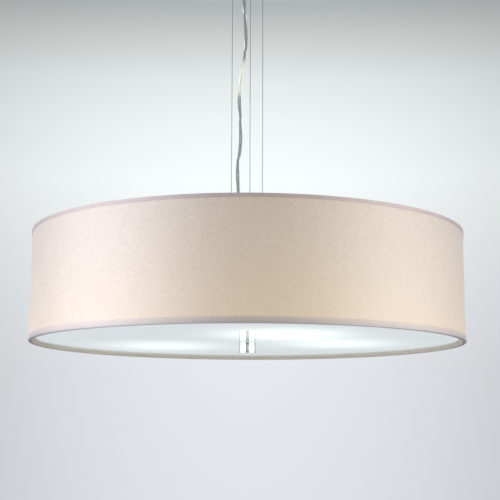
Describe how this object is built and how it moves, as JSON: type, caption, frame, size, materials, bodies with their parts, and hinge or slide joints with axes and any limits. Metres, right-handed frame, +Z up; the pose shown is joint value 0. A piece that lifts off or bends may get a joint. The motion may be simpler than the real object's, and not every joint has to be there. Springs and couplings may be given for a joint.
{
  "type": "pendant light",
  "caption": "Round drum pendant light with a fabric shade over a frosted glass disc, hung from a ceiling canopy on thin steel wires beside a clear power cord.",
  "frame": {"origin": "middle of the ceiling bracket's top face, which lies flat on the ceiling", "axes": "+Z up, square to the ceiling; +X along the bracket, from one canopy screw to the other; -Y towards the viewer"},
  "size_m": [0.6, 0.6, 0.5917],
  "materials": {
    "zinc_plate": "satin",
    "satin_nickel": "satin",
    "polished_chrome": "polished",
    "steel_wire": "satin",
    "cap_brass": "satin",
    "white_plastic": "satin",
    "white_enamel": "satin",
    "clear_plastic": "gloss",
    "pale_rubber": "matte",
    "shade_liner": "matte",
    "shade_fabric": "matte",
    "hem_tape": "matte",
    "opal_glass": "satin",
    "frosted_glass": "matte"
  },
  "bodies": {
    "canopy": {"ceiling_bracket": "zinc_plate", "canopy_cup": "satin_nickel", "canopy_screw_1": "satin_nickel", "canopy_screw_2": "satin_nickel", "terminal_block": "white_plastic", "canopy_gland": "clear_plastic", "canopy_gland_nut": "clear_plastic", "gripper_barrel_1": "satin_nickel", "gripper_barrel_2": "satin_nickel", "gripper_barrel_3": "satin_nickel", "gripper_nut_1": "zinc_plate", "gripper_nut_2": "zinc_plate", "gripper_nut_3": "zinc_plate", "suspension_wire_1": "steel_wire", "suspension_wire_2": "steel_wire", "suspension_wire_3": "steel_wire", "power_cord": "clear_plastic"},
    "plunger_1": {"gripper_plunger_1": "polished_chrome"},
    "plunger_2": {"gripper_plunger_2": "polished_chrome"},
    "plunger_3": {"gripper_plunger_3": "polished_chrome"},
    "lamp_frame": {"wire_end_1": "polished_chrome", "wire_end_2": "polished_chrome", "wire_end_3": "polished_chrome", "suspension_plate": "satin_nickel", "plate_gland": "clear_plastic", "plate_gland_nut": "clear_plastic", "top_nut": "zinc_plate", "threaded_rod": "zinc_plate", "spacer_tube": "white_enamel", "inner_lead": "clear_plastic", "hub_cup": "white_enamel", "hub_cover": "white_enamel", "hub_nut": "zinc_plate", "lamp_arm_1": "satin_nickel", "lamp_arm_2": "satin_nickel", "lamp_arm_3": "satin_nickel", "lampholder_1": "white_plastic", "lampholder_2": "white_plastic", "lampholder_3": "white_plastic", "lampholder_cap_1": "white_plastic", "lampholder_cap_2": "white_plastic", "lampholder_cap_3": "white_plastic", "shade_spider": "white_enamel", "bottom_ring": "white_enamel", "shade_liner": "shade_liner", "shade_fabric": "shade_fabric", "top_hem": "hem_tape", "bottom_hem": "hem_tape", "stop_nut": "zinc_plate"},
    "bulb_1": {"bulb_glass_1": "opal_glass", "bulb_cap_1": "cap_brass"},
    "bulb_2": {"bulb_glass_2": "opal_glass", "bulb_cap_2": "cap_brass"},
    "bulb_3": {"bulb_glass_3": "opal_glass", "bulb_cap_3": "cap_brass"},
    "diffuser": {"diffuser_glass": "frosted_glass", "glass_washer_upper": "pale_rubber", "glass_washer_lower": "pale_rubber"},
    "finial": {"finial_collar": "polished_chrome", "finial_cap": "polished_chrome"}
  },
  "joints": [
    {"name": "height_adjust", "type": "slide", "parent": "canopy", "child": "lamp_frame", "axis": [0, 0, 1], "range_m": [0, 0.25], "deforming": ["suspension_wire_1", "suspension_wire_2", "suspension_wire_3", "power_cord"]},
    {"name": "gripper_release_1", "type": "slide", "parent": "canopy", "child": "plunger_1", "axis": [0, 0, 1], "range_m": [0, 0.002], "stiffness_N_per_m": 400, "springref_m": -0.002},
    {"name": "gripper_release_2", "type": "slide", "parent": "canopy", "child": "plunger_2", "axis": [0, 0, 1], "range_m": [0, 0.002], "stiffness_N_per_m": 400, "springref_m": -0.002},
    {"name": "gripper_release_3", "type": "slide", "parent": "canopy", "child": "plunger_3", "axis": [0, 0, 1], "range_m": [0, 0.002], "stiffness_N_per_m": 400, "springref_m": -0.002},
    {"name": "bulb_out_1", "type": "slide", "parent": "lamp_frame", "child": "bulb_1", "axis": [0.809, 0.5878, 0], "range_m": [0, 0.025]},
    {"name": "bulb_out_2", "type": "slide", "parent": "lamp_frame", "child": "bulb_2", "axis": [-0.9135, 0.4067, 0], "range_m": [0, 0.025]},
    {"name": "bulb_out_3", "type": "slide", "parent": "lamp_frame", "child": "bulb_3", "axis": [0.1045, -0.9945, 0], "range_m": [0, 0.025]},
    {"name": "diffuser_lower", "type": "slide", "parent": "lamp_frame", "child": "diffuser", "axis": [0, 0, -1], "range_m": [0, 0.008]},
    {"name": "finial_turn", "type": "hinge", "parent": "diffuser", "child": "finial", "pos_m": [0, 0, -0.585], "axis": [0, 0, -1], "range_deg": [0, 2880]}
  ],
  "couplings": [
    {"joint": "finial_turn", "follows": "diffuser_lower", "rad_per_m": 6283.2}
  ]
}
